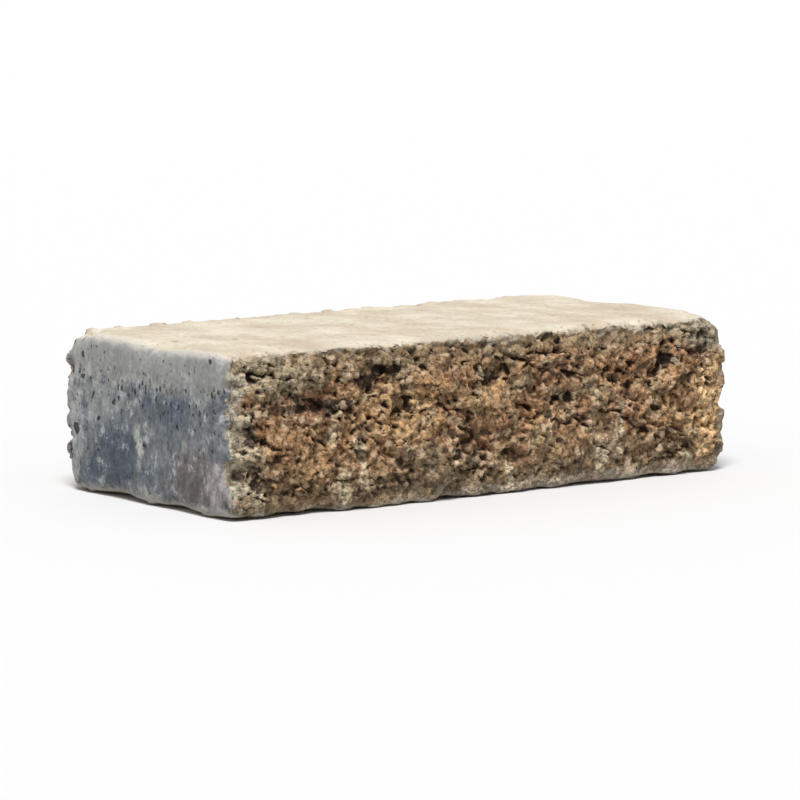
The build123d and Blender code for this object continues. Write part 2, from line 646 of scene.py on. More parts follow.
END_FINE = Clouds(3.6 * MM, detail=4.0, roughness=0.7, squeeze=(1.0, 1.0, 0.6))
END_SPECKLE = Clouds(2.2 * MM, detail=3.0)
PORE_CROWDS = Clouds(20 * MM, seed=(0.1, 0.8, 0.3))
GRIT_RELIEF = Clouds(2.0 * MM, detail=3.0, roughness=0.6)
SKIN_RELIEF = Clouds(1.5 * MM)

# How far the edge of a blotch strays and where it is gone, as shares of its reach
BLOTCH_STRAY = 3.0
BLOTCH_END = 1.1


@dataclass(frozen=True)
class Blotch:
    """A patch of another colour, in millimetres. Most are stains; the dark ones on the broken faces are
    painted shade in clefts and pits.

    Attributes:
        place: The middle of the patch.
        reach: How far it reaches along x, y and z.
        colour: Its colour on a screen, as six hexadecimal digits.
        strength: How strong it is in the middle.
        softness: How much of its reach it fades over.
    """

    place: Place
    reach: Place
    colour: str
    strength: float
    softness: float = 0.7


@dataclass(frozen=True)
class TumbledConcrete:
    """Brown and ochre split concrete with slate-grey cast ends and pale beds.

    A fade is the two heights or distances between which something comes in or gives way.

    Attributes:
        size: The block's length, depth and height.
        split_stains_and_shade: The patches on the broken faces, in the order in which they are laid on:
            stains, and painted shade in the clefts and pits.
        cast_stains: The patches on the cast ends.
        brown: The broken faces' darker main colour.
        tan: Their lighter one.
        olive: A tint of the mix.
        rust: Another tint of it.
        split_stray: How far the edge of these colours strays, as a share of the change to a broken face.
        foot: The greyer colour low on the broken faces.
        foot_fade: The heights at which it gives way.
        head: The colour along their tops.
        head_fade: The heights at which it comes in.
        wander: How far these heights stray with the clouds.
        lime: The pale runs down them.
        lime_fade: The heights at which they give way.
        core: The colour of what broke off well inside the coloured faces.
        core_fade: How far from the middle it gives way.
        grain_shade: How dark the darkest grains are beside the mean, and how light the lightest.
        pale_grain: The palest grains.
        dirt: Dirt and painted shade in the recesses, where the block shelters itself from the light.
        dirt_shelter: The least shelter at which it shows, and the least at which it is whole.
        dirt_off_arris: How far from an arris it comes in.
        dirt_and_shade_height_fade: The heights at which more of it comes in.
        cream: The beds' main colour.
        pale_cream: Their paler clouds.
        warm_cream: The warm tinge on them.
        bed_pore: The pores of the beds, darker as painted shade in the holes.
        bed_stray: How far the line between an end and a bed strays.
        bed_fade: How far past that line the beds come in.
        slate: The ends' main colour.
        light_slate: Their lighter clouds.
        dark_slate: Their dark dashes.
        dash_height: The height that the dashes crowd about.
        dash_fade: How far from it they thin out.
        chalk: Their chalky flecks.
        band: The plain band along their tops.
        band_fade: The heights at which it comes in.
        band_stray: How far its lower edge strays.
        plain_fade: The heights at which the other marks of the ends give way.
        end_pore_shade: Their pores and pits, dark as painted shade in the holes.
        pitted_back: How far back the pits of the left end come in.
        pitted_left: Where along the block they give way.
        rim: The pale edges between the ends and the beds, partly worn and partly a painted highlight.
        rim_fade: How far from the edge they give way.
        rim_stray: How far that strays.
        rub: The pale edges of the broken faces, partly worn and partly a painted highlight.
        rub_reach: How far from an arris they reach.
        rub_stray: How far that strays.
        roughness: The least and the most of it.
        specular: The strength of the sheen.
        grit_height: The height of the grit on the broken faces.
        skin_height: The height of the cast faces' grain.
        pore_depth: The depth of the pores.
    """

    size: Vector
    split_stains_and_shade: tuple[Blotch, ...]
    cast_stains: tuple[Blotch, ...]
    brown: Colour = paint("987458")
    tan: Colour = paint("ba956e")
    olive: Colour = paint("9b8b6d")
    rust: Colour = paint("986f4c")
    split_stray: float = 1.2
    foot: Colour = paint("89775f")
    foot_fade: Fade = (10 * MM, 32 * MM)
    head: Colour = paint("84765e")
    head_fade: Fade = (60 * MM, 76 * MM)
    wander: float = 40 * MM
    lime: Colour = paint("dccbac")
    lime_fade: Fade = (20 * MM, 60 * MM)
    core: Colour = paint("a9a69e")
    core_fade: Fade = (50 * MM, 62 * MM)
    grain_shade: Fade = (0.44, 1.8)
    pale_grain: Colour = paint("d8c2a4")
    dirt: Colour = paint("2a1b17")
    dirt_shelter: Fade = (0.34, 0.74)
    dirt_off_arris: Fade = (1 * MM, 5 * MM)
    dirt_and_shade_height_fade: Fade = (15 * MM, 45 * MM)
    cream: Colour = paint("d6c9b3")
    pale_cream: Colour = paint("e9dfca")
    warm_cream: Colour = paint("c8b39d")
    bed_pore: Colour = paint("8f8069")
    bed_stray: float = 5 * MM
    bed_fade: Fade = (-0.8 * MM, 0.8 * MM)
    slate: Colour = paint("717982")
    light_slate: Colour = paint("8e9294")
    dark_slate: Colour = paint("3b4047")
    dash_height: float = 54 * MM
    dash_fade: Fade = (4 * MM, 16 * MM)
    chalk: Colour = paint("c6c8c5")
    band: Colour = paint("b0afab")
    band_fade: Fade = (52 * MM, 60 * MM)
    band_stray: float = 40 * MM
    plain_fade: Fade = (58 * MM, 68 * MM)
    end_pore_shade: Colour = paint("2e3136")
    pitted_back: Fade = (54 * MM, 60 * MM)
    pitted_left: Fade = (-1 * MM, 1 * MM)
    rim: Colour = paint("d8d4ca")
    rim_fade: Fade = (1.5 * MM, 5.5 * MM)
    rim_stray: float = 10 * MM
    rub: Colour = paint("c8bfad")
    rub_reach: float = 3.5 * MM
    rub_stray: float = 16 * MM
    roughness: Fade = (0.82, 0.97)
    specular: float = 0.25
    grit_height: float = 1.6 * MM
    skin_height: float = 0.08 * MM
    pore_depth: float = 0.5 * MM

    def material(self) -> bpy.types.Material:
        """Build the material.

        Returns:
            The material, for the block's one slot.
        """
        made = bpy.data.materials.new(SLOT)
        made.use_nodes = True
        ConcreteNodes(made.node_tree, self).dress()
        return made


class ConcreteNodes(NodeBench):
    """The concrete's tree under construction, which knows where on the block it is.

    Attributes:
        mix: The concrete.
        laid: Places on the block before its relief.
        arris: How far the nearest arris is.
        past_end: How far the nearer end is.
        past_bed: How far the nearer bed is.
        on_bed: From 0 on an end to 1 on a bed, with a ragged line between them.
        flat: The places in the plane of their cast face.
        pores: From 0 on a sound cast face to 1 in a pore.
        crumbled: How far the edges of the patches stray.
    """

    def __init__(self, tree: bpy.types.NodeTree, mix: TumbledConcrete) -> None:
        """Start from an empty tree, and find out where each place is.

        Args:
            tree: The material's tree.
            mix: The concrete.
        """
        super().__init__(tree)
        self.mix = mix
        self.laid = self.carried(Attribute.LAID, "Vector")
        self.arris = self.math("ABSOLUTE", self.carried(Attribute.ARRIS, "Fac"))
        x, _, z = self.parts(self.laid)
        self.past_end = self.math("SUBTRACT", mix.size.x / 2, self.math("ABSOLUTE", x))
        self.past_bed = self.math("MINIMUM", z, self.math("SUBTRACT", mix.size.z, z))
        self.on_bed = self.which_face()
        self.flat = self.laid_flat()
        self.pores = self.open_pores()
        self.crumbled = self.stray(BLOTCH_EDGE)

    def dress(self) -> None:
        """Build the shader: the colours, the sheen and the fine relief."""
        broken = self.carried(Attribute.BROKEN, "Fac")
        ragged = self.math("MULTIPLY_ADD", self.stray(SPLIT_EDGE), self.mix.split_stray, broken)
        colour = self.blend(self.ease(ragged, 0.3, 0.75), self.cast_colour(), self.split_colour())
        relief = {"Strength": 1.0, "Distance": 1.0, "Height": self.fine_relief(broken)}
        looks = {
            # Pale arrises: wear, and a painted highlight along them
            "Base Color": self.blend(self.rubbed(), colour, self.mix.rub),
            "Roughness": self.ease(self.clouds(SHEEN), 0.3, 0.7, *self.mix.roughness),
            "Specular IOR Level": self.mix.specular,
            "Normal": self.node("ShaderNodeBump", relief).outputs["Normal"],
        }
        shader = self.node("ShaderNodeBsdfPrincipled", looks)
        self.node("ShaderNodeOutputMaterial", {"Surface": shader.outputs["BSDF"]})

    def carried(self, name: Attribute, output: str) -> Socket:
        """Read what the mesh carries, by the Attribute node's Vector or Fac output."""
        reader = self.node("ShaderNodeAttribute", attribute_type="GEOMETRY", attribute_name=name.value)
        return reader.outputs[output]

    def clouds(self, kind: Clouds) -> Socket:
        """Cloudy noise of one kind, about 0.5."""
        return kind.read(self, self.laid)

    def stray(self, kind: Clouds) -> Socket:
        """Cloudy noise of one kind, about 0."""
        return self.math("SUBTRACT", self.clouds(kind), 0.5)

    def shaded(self, colour: Socket, level: Socket, factor: object = 1.0) -> Socket:
        """Darken or lighten a colour.

        Args:
            colour: The colour.
            level: What it is multiplied by.
            factor: How much of that shows.

        Returns:
            The shaded colour.
        """
        return self.blend(factor, colour, self.join(level, level, level), Blend.MULTIPLY)

    def blotched(self, colour: Socket, blotches: Iterable[Blotch]) -> Socket:
        """Lay patches over a colour, with crumbled edges: stains, and on the broken faces painted shade in
        the clefts and pits.

        Args:
            colour: The colour below.
            blotches: The patches, in order.

        Returns:
            The stained colour.
        """
        for blotch in blotches:
            middle, reach = (tuple(length * MM for length in way) for way in (blotch.place, blotch.reach))
            from_middle = self.vector("DIVIDE", self.vector("SUBTRACT", self.laid, middle), reach)
            away = self.math("MULTIPLY_ADD", self.crumbled, BLOTCH_STRAY, self.vector("LENGTH", from_middle))
            shown = self.ease(away, BLOTCH_END - blotch.softness, BLOTCH_END, blotch.strength, 0.0)
            colour = self.blend(shown, colour, paint(blotch.colour))
        return colour

    def rubbed(self) -> Socket:
        """How far the arrises are pale, rubbed by tumbling and with a painted highlight along them."""
        ragged = self.math("MULTIPLY_ADD", self.stray(RUB_AND_HIGHLIGHT_PATCHES), self.mix.rub_stray, self.arris)
        return self.ease(ragged, 0.0, self.mix.rub_reach, 0.68, 0.0)

    def split_colour(self) -> Socket:
        """The broken faces: brown and tan, greyer below, with pale runs down them.

        Returns:
            The colour.
        """
        mix = self.mix
        _, y, z = self.parts(self.laid)
        cloud = self.clouds(SPLIT_CLOUDS)
        tint = self.clouds(SPLIT_TINTS)
        colour = self.blend(self.ease(cloud, 0.35, 0.65), mix.brown, mix.tan)
        colour = self.blend(self.ease(tint, 0.52, 0.66, 0.0, 0.75), colour, mix.olive)
        colour = self.blend(self.ease(tint, 0.34, 0.48, 0.75, 0.0), colour, mix.rust)
        rough_z = self.math("MULTIPLY_ADD", self.math("SUBTRACT", cloud, 0.5), mix.wander, z)
        colour = self.blend(self.ease(rough_z, *mix.foot_fade, 0.75, 0.0), colour, mix.foot)
        colour = self.blend(self.ease(rough_z, *mix.head_fade, 0.0, 0.75), colour, mix.head)
        # Stains, and painted shade in the clefts and pits
        colour = self.blotched(colour, mix.split_stains_and_shade)
        run = self.ease(self.clouds(LIME_RUNS), 0.54, 0.64)
        low = self.ease(rough_z, *mix.lime_fade, 0.8, 0.0)
        colour = self.blend(self.math("MULTIPLY", run, low), colour, mix.lime)
        inner = self.ease(self.math("ABSOLUTE", y), *mix.core_fade, 1.0, 0.0)
        colour = self.blend(inner, colour, mix.core)
        return self.dirtied(self.grained(colour), rough_z)

    def grained(self, colour: Socket) -> Socket:
        """Shade the broken faces grain by grain, as their relief has them.

        Args:
            colour: The colour of the mix.

        Returns:
            The colour of the grains.
        """
        fine = FINE.cells(self, self.vector("ADD", self.laid, (SplitRelief.seed, 0.0, 0.0)))[0]
        tone = self.parts(fine.outputs["Color"])[1]
        grit = self.ease(self.clouds(SPLIT_GRIT), 0.3, 0.7)
        level = self.math("MULTIPLY_ADD", grit, 0.6, self.math("MULTIPLY", tone, 0.4))
        colour = self.shaded(colour, self.ease(level, 0.1, 0.95, *self.mix.grain_shade))
        return self.blend(self.ease(tone, 0.86, 0.93, 0.0, 0.6), colour, self.mix.pale_grain)

    def dirtied(self, colour: Socket, rough_z: Socket) -> Socket:
        """Lay dirt and painted shade in the recesses, where the block shelters itself from the light, less of
        it along the arrises and low down.

        Args:
            colour: The clean colour.
            rough_z: The height, straying with the clouds.

        Returns:
            The dirtied colour.
        """
        # Dirt and painted shade: darker where the block shelters a place from the light
        sheltered = self.ease(self.carried(Attribute.CAVITY, "Fac"), *self.mix.dirt_shelter, 0.0, 0.94)
        kept = self.ease(self.arris, *self.mix.dirt_off_arris, 0.2, 1.0)
        thinned_low = self.math("MULTIPLY", kept, self.ease(rough_z, *self.mix.dirt_and_shade_height_fade, 0.8, 1.0))
        return self.blend(self.math("MULTIPLY", sheltered, thinned_low), colour, self.mix.dirt)

    def which_face(self) -> Socket:
        """Find which cast face each place is on.

        Returns:
            From 0 on an end to 1 on a bed.
        """
        apart = self.math("SUBTRACT", self.past_end, self.past_bed)
        nearer = self.math("MULTIPLY_ADD", self.stray(BED_EDGE), self.mix.bed_stray, apart)
        return self.ease(nearer, *self.mix.bed_fade)

    def laid_flat(self) -> Socket:
        """Lay the cast faces out flat: y and z on an end, x and y on a bed.

        Returns:
            The places in the plane of their face.
        """
        x, y, z = self.parts(self.laid)
        across = self.math("MULTIPLY_ADD", self.on_bed, self.math("SUBTRACT", x, y), y)
        up = self.math("MULTIPLY_ADD", self.on_bed, self.math("SUBTRACT", y, z), z)
        return self.join(across, up, 0.0)

    def open_pores(self) -> Socket:
        """The small open pores of the cast faces, in crowds, and a few larger ones.

        Returns:
            From 0 on the sound face to 1 in a pore.
        """
        crowded = self.ease(self.clouds(PORE_CROWDS), 0.4, 0.6)
        small = self.math("MULTIPLY", self.ease(FINE_PORES.hollow(self, self.flat), 0.1, 0.5), crowded)
        return self.math("MAXIMUM", small, self.ease(COARSE_PORES.hollow(self, self.flat), 0.1, 0.5))

    def cast_colour(self) -> Socket:
        """The moulded faces: pale beds and slate-grey ends, with pale edges between them, partly worn and
        partly a painted highlight.

        Returns:
            The colour.
        """
        cast = self.blend(self.on_bed, self.end_colour(), self.bed_colour())
        from_edge = self.math("MAXIMUM", self.past_end, self.past_bed)
        ragged = self.math("MULTIPLY_ADD", self.stray(RIM_EDGE), self.mix.rim_stray, from_edge)
        # Pale edges: wear, and a painted highlight along them
        return self.blend(self.ease(ragged, *self.mix.rim_fade, 0.8, 0.0), cast, self.mix.rim)

    def bed_colour(self) -> Socket:
        """The beds: cream, with a faint warm tinge in places, and painted shade in their pores.

        Returns:
            The colour.
        """
        mix = self.mix
        bed = self.blend(self.ease(self.clouds(BED_CLOUDS), 0.35, 0.65), mix.cream, mix.pale_cream)
        bed = self.blend(self.ease(self.clouds(BED_TINGE), 0.45, 0.7, 0.0, 0.6), bed, mix.warm_cream)
        bed = self.shaded(bed, self.ease(self.clouds(BED_SPECKLE), 0.3, 0.7, 0.87, 1.1))
        # Painted shade in the pores
        return self.blend(self.math("MULTIPLY", self.pores, 0.5), bed, mix.bed_pore)

    def end_colour(self) -> Socket:
        """The ends: slate with dark dashes and chalky flecks, under a plain grey band with a ragged edge, and
        painted shade in their pores and pits.

        Returns:
            The colour.
        """
        mix = self.mix
        z = self.parts(self.laid)[2]
        mottle = self.clouds(END_MOTTLE)
        fine = self.clouds(END_FINE)
        fine_stray = self.math("SUBTRACT", fine, 0.5)
        end = self.blend(self.ease(self.clouds(END_CLOUDS), 0.4, 0.6), mix.slate, mix.light_slate)
        end = self.blotched(end, mix.cast_stains)
        edge = self.math("MULTIPLY_ADD", self.stray(END_STREAKS), mix.band_stray, z)
        end = self.blend(self.ease(edge, *mix.band_fade, 0.0, 0.9), end, mix.band)
        plain = self.ease(z, *mix.plain_fade, 1.0, 0.25)
        shade = self.ease(mottle, 0.28, 0.72, 0.74, 1.26)
        shade = self.math("MULTIPLY", shade, self.ease(fine, 0.3, 0.7, 0.72, 1.28))
        end = self.shaded(end, shade, plain)
        lit = self.math("MULTIPLY_ADD", fine_stray, 0.5, mottle)
        flecks = self.math("MULTIPLY", self.ease(lit, 0.57, 0.65, 0.0, 0.8), plain)
        end = self.blend(flecks, end, mix.chalk)
        from_dashes = self.math("ABSOLUTE", self.math("SUBTRACT", edge, mix.dash_height))
        marks = self.ease(DASHES.hollow(self, self.flat), 0.1, 0.35)
        marks = self.math("MULTIPLY", marks, self.ease(from_dashes, *mix.dash_fade, 0.9, 0.3))
        end = self.blend(self.math("MULTIPLY", marks, plain), end, mix.dark_slate)
        end = self.shaded(end, self.ease(self.clouds(END_SPECKLE), 0.3, 0.7, 0.88, 1.12))
        # Painted shade in the pores and pits
        return self.blend(self.end_hole_shade(fine_stray), end, mix.end_pore_shade)

    def end_hole_shade(self, fine_stray: Socket) -> Socket:
        """The painted shade in the pores of the ends, and in the pits along the back of the left one.

        Args:
            fine_stray: The fine noise that frays the pits.

        Returns:
            How dark the painted shade in the holes is at each place.
        """
        x, y, _ = self.parts(self.laid)
        at_back = self.ease(y, *self.mix.pitted_back)
        at_left_back = self.math("MULTIPLY", at_back, self.ease(x, *self.mix.pitted_left, 1.0, 0.0))
        pitted = self.math("MULTIPLY", EDGE_PITS.hollow(self, self.flat), at_left_back)
        pitted = self.math("MULTIPLY_ADD", fine_stray, 0.6, pitted)
        pits = self.ease(pitted, 0.1, 0.45, 0.0, 0.9)
        return self.math("MAXIMUM", pits, self.math("MULTIPLY", self.pores, 0.85))

    def fine_relief(self, broken: Socket) -> Socket:
        """Relief too fine for the mesh: grit on the broken faces and pores in the cast ones.

        Args:
            broken: How broken the face is.

        Returns:
            The height, in metres.
        """
        grit = self.math("MULTIPLY", self.clouds(GRIT_RELIEF), self.mix.grit_height)
        sound = self.math("MULTIPLY", self.clouds(SKIN_RELIEF), self.mix.skin_height)
        skin = self.math("MULTIPLY_ADD", self.pores, -self.mix.pore_depth, sound)
        return self.math("ADD", self.math("MULTIPLY", grit, broken), skin)


@dataclass
class WallBlock:
    """The block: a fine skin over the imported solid, with its relief and its finish.

    Attributes:
        low: The solid's lowest corner.
        high: Its highest corner.
        step: The skin's coarsest cell, on the beds.
        core: How far inside the solid the rays start that lay the skin on it.
        split_setback: How far the split faces stand behind the solid's proudest points, on average.
        rim: The strip along the arrises where the skin is finer.
        weld: How far apart points may be that are made one.
        easing: How far one easing goes.
        softening: How many times the broken faces are eased.
        end_lip: How far inside the ends a face counts as broken.
        bed_lip: How far inside the beds it does.
        edge_lip: How far inside an end and a bed together it does.
        wear: How far from an arris tumbling has rounded it.
        wearing: How many times the arrises are eased.
        arris_angle: The least turn at an arris, in radians.
        arris_step: How far apart an arris is marked.
        cast_lean: How far a cast face may lean towards the front or back, as a sine.
        cast_wear: How far tumbling may have worn a cast face back.
        shelter_rays: How many ways a place is tested for shelter.
        shelter_reach: How far off what shelters it may be.
        shelter_lift: How far above the place the test starts.
    """

    low: Vector
    high: Vector
    step: float = 3.4 * MM
    core: float = 26 * MM
    split_setback: float = 5 * MM
    rim: float = 5 * MM
    weld: float = 0.01 * MM
    easing: float = 0.5
    softening: int = 2
    end_lip: float = 2.4 * MM
    bed_lip: float = 0.7 * MM
    edge_lip: float = 8.5 * MM
    wear: float = 11 * MM
    wearing: int = 22
    arris_angle: float = 0.45
    arris_step: float = 1 * MM
    cast_lean: float = 0.6
    cast_wear: float = 2.6 * MM
    shelter_rays: int = 16
    shelter_reach: float = 8 * MM
    shelter_lift: float = 0.15 * MM

    @property
    def size(self) -> Vector:
        """The block's length, depth and height."""
        return self.high - self.low

    @property
    def middle(self) -> Vector:
        """The middle of the block."""
        return (self.low + self.high) / 2

    def build(self, relief: SplitRelief, finish: bpy.types.Material) -> bpy.types.Object:
        """Make the block.

        Args:
            relief: The relief of its broken faces.
            finish: Its material.

        Returns:
            The finished piece.
        """
        skin = self.grid()
        self.refine(skin)
        self.lay(skin)
        mesh = bpy.data.meshes.new("split_block")
        skin.to_mesh(mesh)
        skin.free()
        piece = bpy.data.objects.new("split_block", mesh)
        bpy.context.scene.collection.objects.link(piece)
        relief.cut(piece, finish)
        self.mark_shelter(piece)
        return piece

    def half(self) -> Vector:
        """Half the size of the box that the skin is ruled on."""
        return Vector((self.size.x / 2, self.size.y / 2 - self.split_setback, self.size.z / 2))

    def grid(self) -> bmesh.types.BMesh:
        """Rule the skin's coarsest cells on a box.

        Returns:
            The box, centred on the origin.
        """
        skin = bmesh.new()
        half = self.half()
        for axis in range(3):
            across, up = (axis + 1) % 3, (axis + 2) % 3
            for side in (-1, 1):
                turn = Matrix.Identity(4)
                columns = ((across, half[across] * side), (up, half[up]), (axis, side))
                for column, (row, value) in enumerate(columns):
                    turn.col[column].xyz = Vector(value if place == row else 0.0 for place in range(3))
                turn.translation = Vector(half[axis] * side if place == axis else 0.0 for place in range(3))
                bmesh.ops.create_grid(
                    skin,
                    x_segments=round(2 * half[across] / self.step),
                    y_segments=round(2 * half[up] / self.step),
                    size=1.0,
                    matrix=turn,
                )
        bmesh.ops.remove_doubles(skin, verts=skin.verts, dist=self.weld)
        bmesh.ops.recalc_face_normals(skin, faces=skin.faces)
        return skin

    def refine(self, skin: bmesh.types.BMesh) -> None:
        """Halve the cells of the ends once, and those of the split faces and their rims twice.

        Args:
            skin: The box, which changes.
        """
        half = self.half()
        for level in (1, 2):
            chosen = set()
            for face in skin.faces:
                at = face.calc_center_median()
                split = abs(at.y) > half.y - self.rim
                end = abs(at.x) > half.x - self.rim
                if split or (end and level == 1):
                    chosen.update(face.edges)
            bmesh.ops.subdivide_edges(skin, edges=list(chosen), cuts=1, use_grid_fill=True)

    def lay(self, skin: bmesh.types.BMesh) -> None:
        """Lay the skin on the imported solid, along rays from its core, and ease its breaks and arrises.

        Args:
            skin: The box, which becomes the solid's skin.
        """
        solid = bmesh.new()
        solid.from_mesh(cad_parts[NODE].data)
        bmesh.ops.remove_doubles(solid, verts=solid.verts, dist=self.weld)
        tree = BVHTree.FromBMesh(solid)
        half = self.half()
        for vert in skin.verts:
            inner = Vector(max(self.core - h, min(h - self.core, c)) for c, h in zip(vert.co, half))
            vert.co = tree.ray_cast(self.middle + inner, vert.co - inner)[0]
        sharp = [edge for edge in solid.edges if self.is_sharp(edge)]
        edges, arrises = self.marked(sharp), self.marked(filter(self.is_arris, sharp))
        solid.free()
        layer = skin.verts.layers.float.new(Attribute.ARRIS.value)
        for vert in skin.verts:
            vert[layer] = arrises.find(vert.co)[2] * (1 if self.is_broken(vert.co) else -1)
        rough = [vert for vert in skin.verts if vert[layer] > 0]
        worn = [vert for vert in skin.verts if edges.find(vert.co)[2] < self.wear]
        for verts, times in ((rough, self.softening), (worn, self.wearing)):
            for _ in range(times):
                bmesh.ops.smooth_vert(
                    skin, verts=verts, factor=self.easing, use_axis_x=True, use_axis_y=True, use_axis_z=True
                )

    def mark_shelter(self, piece: bpy.types.Object) -> None:
        """Note how sheltered each broken place is, because that is where the dirt and the painted shade go.

        Args:
            piece: The block with its relief.
        """
        mesh = piece.data
        corners = [vert.co for vert in mesh.vertices]
        tree = BVHTree.FromPolygons(corners, [face.vertices for face in mesh.polygons])
        rays = self.open_rays()
        broken = mesh.attributes[Attribute.BROKEN.value].data
        marks = mesh.attributes.new(Attribute.CAVITY.value, "FLOAT", "POINT").data
        for vert in mesh.vertices:
            if broken[vert.index].value > 0:
                turn = vert.normal.to_track_quat("Z", "Y").to_matrix()
                start = vert.co + vert.normal * self.shelter_lift
                met = sum(tree.ray_cast(start, turn @ ray, self.shelter_reach)[0] is not None for ray in rays)
                marks[vert.index].value = met / len(rays)

    def open_rays(self) -> list[Vector]:
        """Directions spread evenly over the half space about +Z.

        Returns:
            The directions, on a spiral from the pole out.
        """
        rays = []
        for index in range(self.shelter_rays):
            rise = 1 - (index + 0.5) / self.shelter_rays
            turn = index * GOLDEN_ANGLE
            flat = sqrt(1 - rise * rise)
            rays.append(Vector((flat * cos(turn), flat * sin(turn), rise)))
        return rays

    def marked(self, edges: Iterable[bmesh.types.BMEdge]) -> KDTree:
        """Mark points along edges of the solid.

        Args:
            edges: The edges.

        Returns:
            The points, to be searched by distance.
        """
        points = []
        for edge in edges:
            start, end = (vert.co for vert in edge.verts)
            count = max(1, round((end - start).length / self.arris_step))
            points += [start.lerp(end, place / count) for place in range(count + 1)]
        near = KDTree(len(points))
        for index, point in enumerate(points):
            near.insert(point, index)
        near.balance()
        return near

    def is_sharp(self, edge: bmesh.types.BMEdge) -> bool:
        """Whether an edge of the solid is a sharp one of a cast face."""
        return edge.calc_face_angle(0.0) > self.arris_angle and any(map(self.is_cast, edge.link_faces))

    def is_arris(self, edge: bmesh.types.BMEdge) -> bool:
        """Whether an edge of the solid has a broken face beside it: one that leans, or a deep one."""
        return any(self.leans(face) or self.is_broken(face.calc_center_median()) for face in edge.link_faces)

    def is_cast(self, face: bmesh.types.BMFace) -> bool:
        """Whether a face of the solid is one that the mould gave it, flat or worn round."""
        return not self.leans(face) and min(self.past_cast(face.calc_center_median())) < self.cast_wear

    def leans(self, face: bmesh.types.BMFace) -> bool:
        """Whether a face of the solid leans forwards or back as only a broken one does."""
        return abs(face.normal.y) > self.cast_lean

    def is_broken(self, point: Vector) -> bool:
        """Whether a point is far enough inside the cast faces to be on a broken one."""
        ends, beds = self.past_cast(point)
        return ends > self.end_lip and beds > self.bed_lip and ends + beds > self.edge_lip

    def past_cast(self, point: Vector) -> tuple[float, float]:
        """How far a point is inside the cast faces.

        Args:
            point: The point.

        Returns:
            How far it is from the nearer end, and from the nearer bed.
        """
        ends = min(point.x - self.low.x, self.high.x - point.x)
        beds = min(point.z - self.low.z, self.high.z - point.z)
        return ends, beds


@dataclass(frozen=True)
class Studio:
    """A pale floor, soft lamps and a camera at the photograph's angle.

    Attributes:
        azimuth: The camera's turn from straight ahead, in degrees.
        elevation: Its height above the horizon, in degrees.
        distance: How far it is from the middle of the block.
        lens: Its focal length, in millimetres.
        lamp_from: The direction that the lamp shines from.
        lamp_strength: Its strength.
        lamp_spread: How wide it looks from the block, in degrees.
        world_strength: The even light from all round.
        floor_grey: How pale the floor looks.
        floor_bounce: How much light it throws back on the block.
        floor_roughness: How dull it is.
        floor_reach: How far it runs from the block, each way.
    """

    azimuth: float = -36.6
    elevation: float = 7.1
    distance: float = 2.24
    lens: float = 206.0
    lamp_from: Place = (-0.30, -0.37, 0.88)
    lamp_strength: float = 2.8
    lamp_spread: float = 20.0
    world_strength: float = 0.33
    floor_grey: float = 0.88
    floor_bounce: float = 0.35
    floor_roughness: float = 0.9
    floor_reach: float = 12.0

    def set_up(self, middle: Vector) -> None:
        """Make the floor, the light and the camera.

        Args:
            middle: The middle of the block.
        """
        bpy.context.scene.view_settings.view_transform = "Standard"
        self.floor()
        self.world()
        self.sun()
        self.camera(middle)

    def floor(self) -> None:
        """Lay a plain pale floor that runs out of view."""
        mesh = bpy.data.meshes.new("floor")
        reach = self.floor_reach
        corners = [(-reach, -reach, 0), (reach, -reach, 0), (reach, reach, 0), (-reach, reach, 0)]
        mesh.from_pydata(corners, [], [(0, 1, 2, 3)])
        piece = bpy.data.objects.new("floor", mesh)
        bpy.context.scene.collection.objects.link(piece)
        made = bpy.data.materials.new("floor_paper")
        made.use_nodes = True
        bench = NodeBench(made.node_tree)
        level = bench.ease(self.seen(bench), 0.0, 1.0, self.floor_bounce, self.floor_grey)
        looks = {"Base Color": bench.join(level, level, level), "Roughness": self.floor_roughness}
        shader = bench.node("ShaderNodeBsdfPrincipled", looks)
        bench.node("ShaderNodeOutputMaterial", {"Surface": shader.outputs["BSDF"]})
        mesh.materials.append(made)

    @staticmethod
    def seen(bench: NodeBench) -> Socket:
        """Whether a ray shows a surface to the camera, straight or by a reflection, or only lights others.

        Args:
            bench: The tree that asks.

        Returns:
            1 where it shows it, 0 elsewhere.
        """
        path = bench.node("ShaderNodeLightPath")
        straight = bench.math("MAXIMUM", path.outputs["Is Camera Ray"], path.outputs["Is Glossy Ray"])
        return bench.math("MAXIMUM", straight, path.outputs["Is Transmission Ray"])

    def world(self) -> None:
        """Light the block evenly from all round, and show white behind it."""
        world = bpy.data.worlds.new("studio")
        bpy.context.scene.world = world
        world.use_nodes = True
        bench = NodeBench(world.node_tree)
        strength = bench.ease(self.seen(bench), 0.0, 1.0, self.world_strength, 1.0)
        shade = bench.node("ShaderNodeBackground", {"Color": (1.0, 1.0, 1.0), "Strength": strength})
        bench.node("ShaderNodeOutputWorld", {"Surface": shade.outputs["Background"]})

    def sun(self) -> None:
        """Hang one wide soft lamp, far off, above the front of the block and to its left."""
        light = bpy.data.lights.new("softbox", "SUN")
        light.energy = self.lamp_strength
        light.angle = radians(self.lamp_spread)
        piece = bpy.data.objects.new("softbox", light)
        piece.rotation_euler = (-Vector(self.lamp_from)).to_track_quat("-Z", "Y").to_euler()
        bpy.context.scene.collection.objects.link(piece)

    def camera(self, middle: Vector) -> None:
        """Stand the camera where the photograph was taken from, aimed at the block.

        Args:
            middle: The middle of the block.
        """
        turn, rise = radians(self.azimuth), radians(self.elevation)
        back = Vector((sin(turn) * cos(rise), -cos(turn) * cos(rise), sin(rise)))
        made = bpy.data.cameras.new("camera")
        made.lens = self.lens
        piece = bpy.data.objects.new("camera", made)
        piece.location = middle + back * self.distance
        piece.rotation_euler = (-back).to_track_quat("-Z", "Y").to_euler()
        bpy.context.scene.collection.objects.link(piece)
        bpy.context.scene.camera = piece


